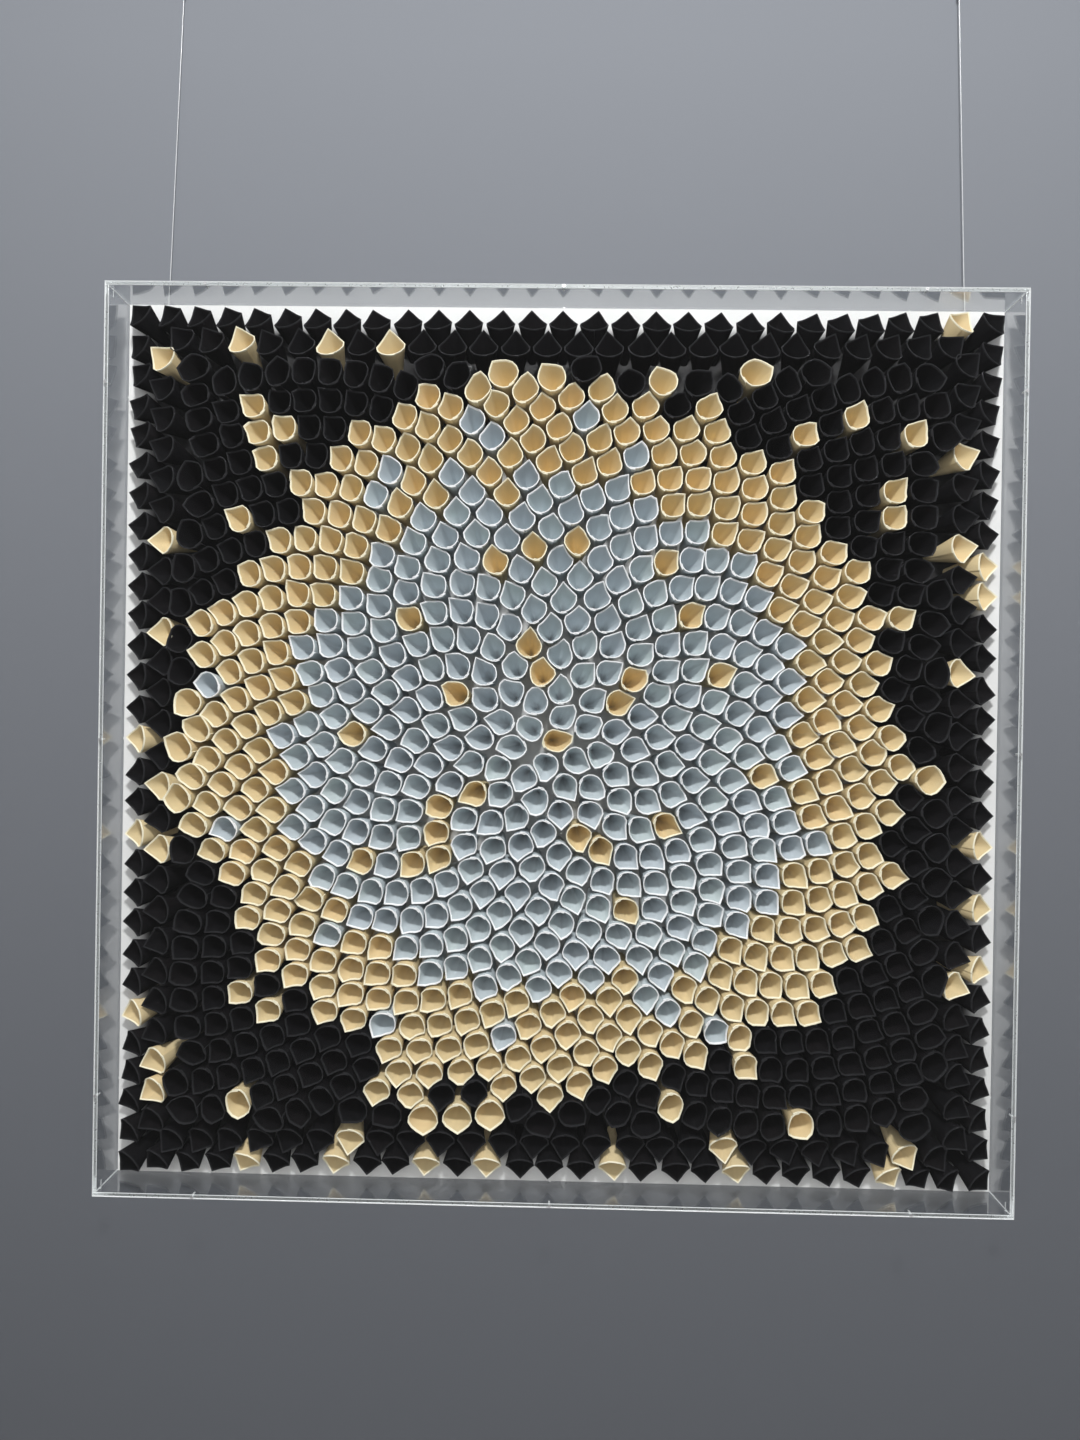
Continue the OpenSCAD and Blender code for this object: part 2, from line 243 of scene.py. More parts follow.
def mathNode(tree, operation, a, b=None, clamp=False):
    node = tree.nodes.new("ShaderNodeMath")
    node.operation = operation
    node.use_clamp = clamp
    for k, value in enumerate((a, b)):
        if value is None:
            continue
        if isinstance(value, (int, float)):
            node.inputs[k].default_value = value
        else:
            tree.links.new(value, node.inputs[k])
    return node.outputs[0]


def rangeNode(tree, value, low, high, toLow=0.0, toHigh=1.0):
    node = tree.nodes.new("ShaderNodeMapRange")
    tree.links.new(value, node.inputs["Value"])
    for socket, number in zip(("From Min", "From Max", "To Min", "To Max"), (low, high, toLow, toHigh)):
        node.inputs[socket].default_value = number
    return node.outputs["Result"]


def mixColour(tree, factor, a, b, blend="MIX"):
    node = tree.nodes.new("ShaderNodeMix")
    node.data_type = "RGBA"
    node.blend_type = blend
    node.clamp_factor = True
    for socket, value in (("Factor", factor), ("A", a), ("B", b)):
        target = [s for s in node.inputs if s.name == socket and s.enabled][0]
        if isinstance(value, (int, float)):
            target.default_value = value
        elif isinstance(value, tuple):
            target.default_value = (*value, 1)
        else:
            tree.links.new(value, target)
    return [s for s in node.outputs if s.enabled][0]


def noiseNode(tree, vector, scale, detail=3.0, rough=0.55):
    node = tree.nodes.new("ShaderNodeTexNoise")
    node.inputs["Scale"].default_value = scale
    node.inputs["Detail"].default_value = detail
    node.inputs["Roughness"].default_value = rough
    tree.links.new(vector, node.inputs["Vector"])
    return node.outputs["Fac"]


def makePaperFibre():
    group, gin, gout = newGroup(
        "paperFibre",
        [("Fibre Scale", "NodeSocketFloat", 900.0)],
        [("Mottle", "NodeSocketFloat"), ("Height", "NodeSocketFloat")],
    )
    coords = group.nodes.new("ShaderNodeTexCoord").outputs["Object"]
    fine = group.nodes.new("ShaderNodeTexNoise")
    fine.inputs["Detail"].default_value = 4
    group.links.new(coords, fine.inputs["Vector"])
    group.links.new(gin.outputs["Fibre Scale"], fine.inputs["Scale"])
    broad = noiseNode(group, coords, 110, 2)
    finePart = mathNode(group, "MULTIPLY", fine.outputs["Fac"], 0.6)
    blend = mathNode(group, "ADD", finePart, mathNode(group, "MULTIPLY", broad, 0.4))
    group.links.new(blend, gout.inputs["Mottle"])
    group.links.new(fine.outputs["Fac"], gout.inputs["Height"])
    return group


fibre = makePaperFibre()


def bumpInto(tree, shader, height, strength, distance):
    bump = tree.nodes.new("ShaderNodeBump")
    bump.inputs["Strength"].default_value = strength
    bump.inputs["Distance"].default_value = distance
    tree.links.new(height, bump.inputs["Height"])
    tree.links.new(bump.outputs["Normal"], shader.inputs["Normal"])


def startMaterial(name):
    mat = bpy.data.materials.new(name)
    mat.use_nodes = True
    return mat, mat.node_tree, mat.node_tree.nodes["Principled BSDF"]


# paper: one finish for the sheet and one for its cut edge

# each paper's deep colour is painted light, the lighter colour the sheet takes towards its point
papers = {
    "blue": dict(
        sheet=(0.532, 0.590, 0.628), cut=(0.97, 0.98, 0.985), warm=(0.523, 0.596, 0.587), deep=(0.77, 0.82, 0.85),
        shade=0.86, gloss=0.25,
    ),
    "tan": dict(
        sheet=(0.735, 0.595, 0.345), cut=(0.98, 0.92, 0.71), warm=(0.76, 0.58, 0.32), deep=(0.87, 0.72, 0.44),
        shade=0.87, gloss=0.25,
    ),
    "black": dict(
        sheet=(0.0055, 0.0055, 0.0065), cut=(0.021, 0.021, 0.023), warm=(0.0065, 0.0055, 0.006),
        deep=(0.0055, 0.0055, 0.006), shade=0.7, gloss=0.05,
    ),
}


def paperMaterial(colourName, paper):
    mat, tree, shader = startMaterial(colourName + "Paper")
    grain = tree.nodes.new("ShaderNodeGroup")
    grain.node_tree = fibre
    grain.inputs["Fibre Scale"].default_value = 850
    tone = tree.nodes.new("ShaderNodeAttribute")
    tone.attribute_name = "tone"
    uv = tree.nodes.new("ShaderNodeUVMap")
    sheetAt = tree.nodes.new("ShaderNodeSeparateXYZ")
    tree.links.new(uv.outputs["UV"], sheetAt.inputs[0])
    dark = tuple(c * paper["shade"] for c in paper["sheet"])
    light = tuple(min(1.0, c * 1.06) for c in paper["sheet"])
    colour = mixColour(tree, rangeNode(tree, grain.outputs["Mottle"], 0.3, 0.7), dark, light)
    colour = mixColour(tree, tone.outputs["Fac"], colour, dark)  # some rolls are a little darker, some warmer
    hue = mathNode(tree, "FRACT", mathNode(tree, "MULTIPLY", tone.outputs["Fac"], 17.0))
    colour = mixColour(tree, mathNode(tree, "MULTIPLY", hue, 0.7), colour, paper["warm"])
    deep = rangeNode(tree, sheetAt.outputs["Y"], 0.8, 0.2)  # painted light: the sheet's colour gets lighter towards its point, standing in for light shining through the thin paper into the deep of the cone
    colour = mixColour(tree, deep, colour, paper["deep"])
    lapAt = mathNode(tree, "FRACT", mathNode(tree, "MULTIPLY", tone.outputs["Fac"], 7.0))
    past = mathNode(tree, "SUBTRACT", sheetAt.outputs["X"], rangeNode(tree, lapAt, 0, 1, 0.25, 0.75))
    paintedLapShade = rangeNode(tree, past, -0.006, 0.006, 0.0, 0.55)  # painted shade: past a line at a random place across the sheet its colour is darker, standing in for less light coming through where a second layer lies behind
    colour = mixColour(tree, paintedLapShade, colour, dark)
    edge = rangeNode(tree, sheetAt.outputs["Y"], 0.955, 0.972)
    colour = mixColour(tree, edge, colour, paper["cut"])
    tree.links.new(colour, shader.inputs["Base Color"])
    tree.links.new(rangeNode(tree, grain.outputs["Mottle"], 0.2, 0.8, 0.74, 0.9), shader.inputs["Roughness"])
    shader.inputs["Specular IOR Level"].default_value = paper["gloss"]
    bumpInto(tree, shader, grain.outputs["Height"], 0.25, 0.0003)
    return mat


def cutMaterial(colourName, paper):
    mat, tree, shader = startMaterial(colourName + "CutEdge")
    grain = tree.nodes.new("ShaderNodeGroup")
    grain.node_tree = fibre
    grain.inputs["Fibre Scale"].default_value = 1400
    dark = tuple(c * 0.86 for c in paper["cut"])
    colour = mixColour(tree, rangeNode(tree, grain.outputs["Mottle"], 0.35, 0.6), dark, paper["cut"])
    tree.links.new(colour, shader.inputs["Base Color"])
    tree.links.new(rangeNode(tree, grain.outputs["Mottle"], 0.2, 0.8, 0.8, 0.95), shader.inputs["Roughness"])
    shader.inputs["Specular IOR Level"].default_value = 0.2
    bumpInto(tree, shader, grain.outputs["Height"], 0.3, 0.0002)
    return mat


paperFinish = {name: (paperMaterial(name, paper), cutMaterial(name, paper)) for name, paper in papers.items()}


# one rolled sheet, modelled once: rolled from corner to corner, with its sides lapped at the back

roll = dict(
    lip=48.4 * mm, corner=42.0, halfAngle=14.5, tail=8.0 * mm, lap=15.0, around=18, thick=0.9 * mm, apart=0.7 * mm,
    rimAbove=20 * mm, innerFoot=1.6 * mm, smoothTo=42,
)


def makeRolledSheet():
    clearSelection()
    bpy.ops.mesh.primitive_grid_add(x_subdivisions=roll["around"], y_subdivisions=1, size=2)
    sheet = bpy.context.object
    sheet.name = "rolledSheet"
    a = math.radians(roll["halfAngle"])
    foot = roll["tail"] / math.cos(a)
    for vert in sheet.data.vertices:
        u, atRim = vert.co.x, vert.co.y > 0
        along = roll["lip"] / math.cos(math.radians(roll["corner"]) * (1 - abs(u))) if atRim else foot
        turn = u * math.radians(180 + roll["lap"])
        out = along * math.sin(a) + roll["apart"] * u * atRim  # one side laps over the other
        vert.co = (out * math.cos(turn), out * math.sin(turn), along * math.cos(a) - roll["tail"])
    editAll(sheet)
    bpy.ops.mesh.normals_make_consistent(inside=False)
    leaveEdit()
    face = sheet.data.polygons[0]
    if face.normal.dot(Vector((face.center.x, face.center.y, 0))) < 0:
        editAll(sheet)
        bpy.ops.mesh.flip_normals()
        leaveEdit()
    bpy.ops.object.modifier_add(type="SOLIDIFY")
    wallOf = sheet.modifiers[-1]
    wallOf.thickness = roll["thick"]
    wallOf.offset = -1
    wallOf.use_even_offset = True
    wallOf.material_offset_rim = 1
    sheet.data.materials.append(paperFinish["blue"][0])
    sheet.data.materials.append(paperFinish["blue"][1])
    bpy.ops.object.modifier_apply(modifier=wallOf.name)
    smooth(sheet, roll["smoothTo"])
    sheet.data.attributes.new("tone", "FLOAT", "POINT")
    return sheet


rolledSheet = makeRolledSheet()
print("rolled sheet modelled:", len(rolledSheet.data.polygons), "faces")


# where the cones stand: a sunflower spiral inside two straight rows along the edges, in millimetres on the board

field = dict(
    halfAngle=14.5, lipH=47.0, sideH=51.0, tipH=64.0, tail=8.0, gap=0.7,
    middle=(-13.0, 6.0), leanMiddle=6.0, leanField=22.0, tipMargin=6.0, innerHalf=496.0, ringR=390.0, boardY=-12.0,
    rowShare=0.95, fieldShare=1.53, pitchShare=1.3, stepShare=1.05, spare=13.0,
    rows=(dict(lean=62.0, shift=0.0, reach=1.0), dict(lean=43.0, shift=0.5, reach=0.988)),
)


def makePlace(mouth, a, lean, row):
    arm = (field["sideH"] - field["tail"]) * math.sin(math.radians(lean))
    foot = (mouth[0] - arm * math.cos(a), mouth[1] - arm * math.sin(a))
    return dict(foot=foot, mouth=mouth, heading=a, lean=lean, row=row)


def sunflowerPlaces():
    f = field
    flare = math.tan(math.radians(f["halfAngle"]))
    tipR, sideR = f["tipH"] * flare, f["sideH"] * flare
    slant = f["lipH"] / math.cos(math.radians(f["halfAngle"]))
    level = slant * math.cos(math.radians(f["leanField"] - f["halfAngle"]))
    outer, inner = (math.tan(math.radians(f["leanField"] + s * f["halfAngle"])) for s in (1, -1))
    radialPitch = level * (outer - inner) + f["gap"]
    sidePitch = 2 * sideR + f["gap"]
    step = math.sqrt(f["stepShare"] * radialPitch * sidePitch / math.pi)
    edgeLine = f["innerHalf"] - f["tipMargin"]
    lines = (edgeLine, edgeLine - f["rowShare"] * radialPitch)
    half = lines[1] - f["fieldShare"] * radialPitch
    golden = math.radians(180 * (3 - math.sqrt(5)))
    places = []
    for n in range(int(2 * (half + f["spare"]) ** 2 / step ** 2) + 1):
        r, a = step * math.sqrt(n + 0.5), golden * n
        mouth = (f["middle"][0] + r * math.cos(a), f["middle"][1] + r * math.sin(a))
        if max(abs(mouth[0]), abs(mouth[1])) <= half:
            lean = f["leanMiddle"] + (f["leanField"] - f["leanMiddle"]) * min(1, r / f["ringR"])
            places.append(makePlace(mouth, a, lean, None))
    for k, (line, row) in enumerate(zip(lines, f["rows"])):
        b = math.radians(row["lean"])
        reach = (f["tipH"] - f["sideH"]) * math.sin(b) + tipR * math.cos(b)  # from the mouth's middle to the tip
        count = round(2 * line / (f["pitchShare"] * sidePitch))
        for side in range(4):
            for i in range(count):
                t = row["reach"] * (2 * (i + row["shift"]) / count - 1)
                a = math.radians(90 - 45 * math.copysign(t * t, t))
                mouth = Vector((t * line - reach * math.cos(a), line - reach * math.sin(a)))
                mouth.rotate(Matrix.Rotation(-math.pi / 2 * side, 2))
                places.append(makePlace(tuple(mouth), a - math.pi / 2 * side, row["lean"], k))
    return places


def tipPoint(place):
    b = math.radians(place["lean"])
    tipR = field["tipH"] * math.tan(math.radians(field["halfAngle"]))
    rise = field["tipH"] - field["tail"]
    run = rise * math.sin(b) + tipR * math.cos(b)
    x, z = place["foot"][0] + run * math.cos(place["heading"]), place["foot"][1] + run * math.sin(place["heading"])
    return Vector((x, field["boardY"] - (rise * math.cos(b) - tipR * math.sin(b)), z)) * mm


coneNodes = {
    "blue_odd_cones": "blue", "blue_even_cones": "blue", "blue_strays": "blue",
    "tan_odd_cones": "tan", "tan_even_cones": "tan", "tan_strays": "tan",
    "black_odd_cones": "black", "black_even_cones": "black",
    "black_second_row": "black", "black_edge_row": "black",
}


def sortPlaces(places):
    # a cone belongs to the CAD node that has a vertex at its tip
    cell = 0.2 * mm
    tips = np.round(np.array([tipPoint(p) for p in places]) / cell).astype(np.int64)
    base = np.array([10 ** 10, 10 ** 5, 1])
    shifts = np.array([(i, j, k) for i in (-1, 0, 1) for j in (-1, 0, 1) for k in (-1, 0, 1)]) @ base
    byNode = {}
    found = np.zeros(len(places), int)
    for name in coneNodes:
        mesh = nodes[name].data
        co = np.zeros(len(mesh.vertices) * 3, np.float32)
        mesh.vertices.foreach_get("co", co)
        keys = np.unique(np.round(co.reshape(-1, 3) / cell).astype(np.int64) @ base)
        hit = np.isin((tips @ base)[:, None] + shifts[None, :], keys).any(1)
        found += hit
        byNode[name] = [places[i] for i in np.flatnonzero(hit)]
    if not (found == 1).all():
        raise RuntimeError(f"{(found != 1).sum()} cones aren't where the CAD has them")
    return byNode


habit = dict(
    seed=23, twist=13.0, middleTwist=30.0, lobe=0.02, slack=(0.975, 0.992), point=(2.0, 4.5),
    leanJitter=1.2, turnJitter=2.5, topmost=57.0 * mm, wallGap=495.0 * mm, deepest=0.3 * mm,
    press=(4.0, 20.0), room=0.1, reach=66.0, cap=19.5, level=(42.6, 46.0), swing=-3.8, swingJitter=0.8, fullTilt=0.42,
    seek=0.75, cornerWide=0.48, cornerRise=0.5, middlePoint=0.6, glued=0.2 * mm, upright=9.0,
    lipInset=0.8, footOut=3.4, rowFootOut=2.0, footIn=0.3,
    tipCap=13.4, sideCap=17.2, lipCap=12.6, rowTip=1.2, rowLip=2.2, rowShare=0.62,
)


def mouthOutline(place, others, turns, p):
    # the mouth swells until it meets its neighbours, and keeps rounded corners between them
    squeeze = habit["cap"] ** -p
    for other in others:
        dx, dz = other["mouth"][0] - place["mouth"][0], other["mouth"][1] - place["mouth"][1]
        share = 0.5 if other["row"] is None else habit["rowShare"]
        half = math.hypot(dx, dz) * share - habit["room"] / 2
        facing = np.clip(np.cos(turns - (math.atan2(dz, dx) - place["heading"])), 0, None)
        squeeze = squeeze + (facing / half) ** p
    return squeeze ** (-1 / p)


def rowOutline(turns):
    # cones in the straight rows lie free: a wide pointed flap in front and a round lip behind
    ahead = np.abs(turns) < math.pi / 2
    power = np.where(ahead, habit["rowTip"], habit["rowLip"])
    length = np.where(ahead, habit["tipCap"], habit["lipCap"])
    along = (np.abs(np.cos(turns)) / length) ** power
    across = (np.abs(np.sin(turns)) / habit["sideCap"]) ** power
    return (along + across) ** (-1 / power)


def rollOnPlace(rng, place, others, base, turns, rim):
    x, z = place["foot"]
    inRow = place["row"] is not None
    freedom = habit["middleTwist"] if place["lean"] < habit["upright"] else habit["twist"]
    twist = math.radians(rng.gauss(0, 0.5) * freedom)
    soft, sharp = habit["press"]
    if not inRow:  # the sheet's corner finds the widest room ahead of it
        ahead = np.linspace(-habit["seek"], habit["seek"], 41)
        twist += ahead[np.argmax(mouthOutline(place, others, ahead, np.full(41, sharp)))]
    heading = place["heading"] + math.radians(rng.uniform(-1, 1) * habit["turnJitter"])
    lean = place["lean"] + rng.uniform(-1, 1) * habit["leanJitter"]
    lobe = 1 + rng.uniform(0, habit["lobe"]) * np.cos(3 * (turns - rng.uniform(0, math.tau)))
    slack, point = rng.uniform(*habit["slack"]), rng.uniform(*habit["point"])
    level, swing = rng.uniform(*habit["level"]), rng.gauss(0, habit["swingJitter"])
    co = base.copy()
    wide = habit["rowFootOut"] if inRow else habit["footOut"]
    feet = np.where(np.hypot(base[:, 0], base[:, 1]) > roll["innerFoot"], wide, habit["footIn"])
    co[~rim, :2] *= feet[~rim, None]
    if inRow:
        swell = rowOutline(turns) / (field["sideH"] * math.tan(math.radians(roll["halfAngle"]))) * slack * lobe
        co[rim, :2] *= swell[rim, None]
    stand = (
        Matrix.Translation((x * mm, field["boardY"] * mm, z * mm))
        @ Matrix.Rotation(math.pi / 2, 4, "X")
        @ Matrix.Rotation(heading, 4, "Z")
        @ Matrix.Rotation(math.radians(lean), 4, "Y")
        @ Matrix.Rotation(twist, 4, "Z")
    )
    m = np.array(stand)
    co = co @ m[:3, :3].T + m[:3, 3]
    board = field["boardY"] * mm
    co[~rim, 1] = board + habit["glued"]  # the rolled point is glued into the board's face
    if not inRow:
        bow = turns + twist
        corner = np.clip(1 - np.abs(turns) / habit["cornerWide"], 0, 1)  # the sheet's own corner stands out a little
        flare = math.tan(math.radians(roll["halfAngle"]))
        inset = ((base[:, 2] + roll["tail"]) * flare - np.hypot(base[:, 0], base[:, 1])) / mm
        tilt = (place["lean"] - field["leanMiddle"]) / (field["leanField"] - field["leanMiddle"])
        tilt = min(1, tilt / habit["fullTilt"])  # upright in the middle
        point *= habit["middlePoint"] + (1 - habit["middlePoint"]) * tilt
        inset += habit["lipInset"] * tilt * np.clip(-np.cos(turns), 0, 1)
        press = soft + (sharp - soft) * np.clip(np.cos(turns), 0, 1)
        out = mouthOutline(place, others, bow, press) * slack * lobe + point * corner - inset
        tip = swing + habit["swing"] * tilt
        co[rim, 0] = ((place["mouth"][0] + out * np.cos(heading + bow)) * mm)[rim]
        co[rim, 2] = ((place["mouth"][1] + out * np.sin(heading + bow)) * mm)[rim]
        co[rim, 1] = (board - (level + tip * np.cos(bow) + habit["cornerRise"] * point * corner) * mm)[rim]
    co[rim, 1] = np.clip(co[rim, 1], board - habit["topmost"], board - habit["deepest"])
    co[:, 0] = np.clip(co[:, 0], -habit["wallGap"], habit["wallGap"])
    co[:, 2] = np.clip(co[:, 2], -habit["wallGap"], habit["wallGap"])
    return co


def plantCones():
    everywhere = sunflowerPlaces()
    mouths = np.array([place["mouth"] for place in everywhere])
    places = sortPlaces(everywhere)
    mesh = rolledSheet.data
    base = np.zeros(len(mesh.vertices) * 3)
    mesh.vertices.foreach_get("co", base)
    base = base.reshape(-1, 3)
    turns = np.arctan2(base[:, 1], base[:, 0])
    rim = base[:, 2] > roll["rimAbove"]
    rng = random.Random(habit["seed"])
    for nodeName, colourName in coneNodes.items():
        rolls = []
        for place in places[nodeName]:
            away = np.hypot(*(mouths - place["mouth"]).T)
            others = [everywhere[i] for i in np.flatnonzero((away < habit["reach"]) & (away > 0.1))]
            piece = rolledSheet.copy()
            piece.data = mesh.copy()
            piece.data.vertices.foreach_set("co", rollOnPlace(rng, place, others, base, turns, rim).ravel())
            tone = np.full(len(base), max(0.0, rng.gauss(0.3, 0.3)), np.float32)
            piece.data.attributes["tone"].data.foreach_set("value", tone)
            bpy.context.scene.collection.objects.link(piece)
            rolls.append(piece)
        bed = joinAll(rolls, "".join(w.title() if k else w for k, w in enumerate(nodeName.split("_"))))
        settle(bed, colourName + "_paper", paperFinish[colourName], nodeName)
        print(bed.name, len(rolls), "cones,", len(bed.data.polygons), "faces")
    bpy.data.objects.remove(rolledSheet)


plantCones()


# screws: one is modelled and copied to each place, and its hole is cut there

screw = dict(
    headR=1.78 * mm, headH=1.2 * mm, shankR=0.99 * mm, rootR=0.80 * mm, length=11.9 * mm, fit=0.06 * mm,
    slot=(2.1 * mm, 0.42 * mm, 0.7 * mm), rings=22, sides=16, caseD=73.963 * mm, wallMid=498 * mm,
    shares=(-0.39, 0.0, 0.39), cornerY=-55.963 * mm, caseHalf=500 * mm, overrun=0.2 * mm,
    pointR=0.12 * mm, pointH=1.4 * mm,
)


def makeScrewFinish():
    mat, tree, shader = startMaterial("zincSteel")
    coords = tree.nodes.new("ShaderNodeTexCoord").outputs["Object"]
    cloud = noiseNode(tree, coords, 900, 3)
    colour = mixColour(tree, rangeNode(tree, cloud, 0.3, 0.7), (0.74, 0.74, 0.75), (0.88, 0.88, 0.89))
    tree.links.new(colour, shader.inputs["Base Color"])
    shader.inputs["Metallic"].default_value = 1
    tree.links.new(rangeNode(tree, cloud, 0.3, 0.7, 0.42, 0.6), shader.inputs["Roughness"])
    bumpInto(tree, shader, cloud, 0.1, 0.0001)
    return mat


screwFinish = makeScrewFinish()


def turned(name, profile):
    # a circle drawn out along its axis, one ring for each radius and height
    nowR, nowZ = profile[0]
    clearSelection()
    bpy.ops.mesh.primitive_circle_add(vertices=screw["sides"], radius=nowR, fill_type="NGON", location=(0, 0, nowZ))
    body = bpy.context.object
    body.name = name
    bpy.ops.object.transform_apply(location=True)
    editAll(body)
    bpy.ops.mesh.select_mode(type="EDGE")
    for radius, height in profile[1:]:
        bpy.ops.mesh.extrude_edges_move(TRANSFORM_OT_translate={"value": (0, 0, height - nowZ)})
        bpy.ops.transform.resize(value=(radius / nowR, radius / nowR, 1), center_override=(0, 0, height))
        nowR, nowZ = radius, height
    bpy.ops.mesh.edge_face_add()
    bpy.ops.mesh.select_all(action="SELECT")
    bpy.ops.mesh.normals_make_consistent(inside=False)
    leaveEdit()
    return body


def cutAway(ob, cutter):
    pick(ob)
    bpy.ops.object.modifier_add(type="BOOLEAN")
    cut = ob.modifiers[-1]
    cut.operation = "DIFFERENCE"
    cut.solver = "EXACT"
    cut.object = cutter
    bpy.ops.object.modifier_apply(modifier=cut.name)


def makeScrew():
    profile = [(screw["headR"], 0.0), (screw["shankR"], -screw["headH"])]
    pitch = (screw["length"] - screw["headH"] - screw["pointH"]) / screw["rings"]
    for k in range(screw["rings"]):
        profile.append((screw["shankR"] if k % 2 else screw["rootR"], -screw["headH"] - (k + 1) * pitch))
    profile.append((screw["pointR"], -screw["length"]))
    bolt = turned("screw", profile)
    long, wide, deep = screw["slot"]
    for size in ((long, wide, deep * 2), (wide, long, deep * 2)):
        clearSelection()
        bpy.ops.mesh.primitive_cube_add(size=1, scale=size)
        bar = bpy.context.object
        bpy.ops.object.transform_apply(scale=True)
        cutAway(bolt, bar)
        bpy.data.objects.remove(bar)
    smooth(bolt, 35)
    return bolt


def edgeSpots(y, tilt):
    spots = []
    for side in range(4):
        for k, share in enumerate(screw["shares"]):
            spots.append(
                Matrix.Translation((0, y, 0))
                @ Matrix.Rotation(math.pi / 2 * side, 4, "Y")
                @ Matrix.Translation((share, 0, screw["wallMid"]))
                @ Matrix.Rotation(tilt, 4, "X")
                @ Matrix.Rotation(0.7 * side + 1.3 * k, 4, "Z")
            )
    return spots


screwSpots = {
    "front_screws": edgeSpots(-screw["caseD"], math.pi / 2),
    "back_screws": edgeSpots(0, -math.pi / 2),
    "corner_screws": [
        Matrix.Translation((side * screw["wallMid"], screw["cornerY"], end * screw["caseHalf"]))
        @ Matrix.Rotation(0 if end > 0 else math.pi, 4, "X")
        for side in (-1, 1) for end in (-1, 1)
    ],
}


def copyTo(ob, spots, name):
    copies = []
    for matrix in spots:
        one = ob.copy()
        one.data = ob.data.copy()
        one.data.transform(matrix)
        bpy.context.scene.collection.objects.link(one)
        copies.append(one)
    return joinAll(copies, name)


bolt = makeScrew()
for nodeName, spots in screwSpots.items():
    screws = copyTo(bolt, spots, nodeName.split("_")[0] + "Screws")
    settle(screws, "screw_steel", (screwFinish,), nodeName)
    print(screws.name, len(spots), "screws,", len(screws.data.polygons), "faces")
bpy.data.objects.remove(bolt)


# clear sheets of the case, with eased edges and holes for the screws and lines

acrylic = dict(
    tint=(0.985, 0.995, 0.995), edgeTint=(0.93, 0.965, 0.97), index=1.49, ease=0.6 * mm, seat=0.04 * mm,
    lineHole=(453 * mm, -7 * mm, 1.25 * mm), holeDepth=6 * mm, sawn={"acrylicEdge": 0.2, "acrylicEnd": 0.9},
)


def lampsPass(tree, shader):
    # lamps and soft light reach the paper straight through the sheet
    path = tree.nodes.new("ShaderNodeLightPath")
    clear = tree.nodes.new("ShaderNodeBsdfTransparent")
    mix = tree.nodes.new("ShaderNodeMixShader")
    soft = mathNode(tree, "MAXIMUM", path.outputs["Is Shadow Ray"], path.outputs["Is Diffuse Ray"])
    tree.links.new(soft, mix.inputs["Fac"])
    tree.links.new(shader.outputs[0], mix.inputs[1])
    tree.links.new(clear.outputs[0], mix.inputs[2])
    tree.links.new(mix.outputs[0], tree.nodes["Material Output"].inputs["Surface"])


def makeAcrylic():
    mat, tree, shader = startMaterial("clearAcrylic")
    coords = tree.nodes.new("ShaderNodeTexCoord").outputs["Object"]
    haze = noiseNode(tree, coords, 14, 3)
    hazed = tuple(c * 0.985 for c in acrylic["tint"])
    colour = mixColour(tree, rangeNode(tree, haze, 0.4, 0.65), acrylic["tint"], hazed)
    tree.links.new(colour, shader.inputs["Base Color"])
    shader.inputs["Roughness"].default_value = 0.0
    shader.inputs["IOR"].default_value = acrylic["index"]
    shader.inputs["Transmission Weight"].default_value = 1
    lampsPass(tree, shader)
    finishes = [mat]
    for name, clearness in acrylic["sawn"].items():
        mat, tree, shader = startMaterial(name)
        coords = tree.nodes.new("ShaderNodeTexCoord").outputs["Object"]
        saw = noiseNode(tree, coords, 420, 2)
        worn = tuple(c * 0.93 for c in acrylic["edgeTint"])
        colour = mixColour(tree, rangeNode(tree, saw, 0.35, 0.65), worn, acrylic["edgeTint"])
        tree.links.new(colour, shader.inputs["Base Color"])
        tree.links.new(rangeNode(tree, saw, 0.3, 0.7, 0.25, 0.45), shader.inputs["Roughness"])
        shader.inputs["IOR"].default_value = acrylic["index"]
        shader.inputs["Transmission Weight"].default_value = clearness
        lampsPass(tree, shader)
        finishes.append(mat)
    return finishes


acrylicFinish = makeAcrylic()
sheets = {
    "frontPanel": ("front_panel", 1), "backPanel": ("back_panel", 1),
    "topWall": ("top_wall", 2), "bottomWall": ("bottom_wall", 2),
    "leftWall": ("left_wall", 0), "rightWall": ("right_wall", 0),
}


def makeHoleCutter():
    over, fit = screw["overrun"], screw["fit"]
    hole = turned("screwHole", [
        (screw["headR"] + fit + over, over),
        (screw["shankR"] + fit, -screw["headH"]),
        (screw["shankR"] + fit, -screw["length"] - over),
    ])
    cutter = copyTo(hole, [spot for spots in screwSpots.values() for spot in spots], "screwHoles")
    bpy.data.objects.remove(hole)
    x, y, radius = acrylic["lineHole"]
    sides, depth = screw["sides"], acrylic["holeDepth"]
    lineHoles = []
    for side in (-1, 1):
        clearSelection()
        spot = (side * x, y, screw["wallMid"])
        bpy.ops.mesh.primitive_cylinder_add(vertices=sides, radius=radius, depth=depth, location=spot)
        bpy.ops.object.transform_apply(location=True)
        lineHoles.append(bpy.context.object)
    return joinAll([cutter] + lineHoles, "holeCutter")


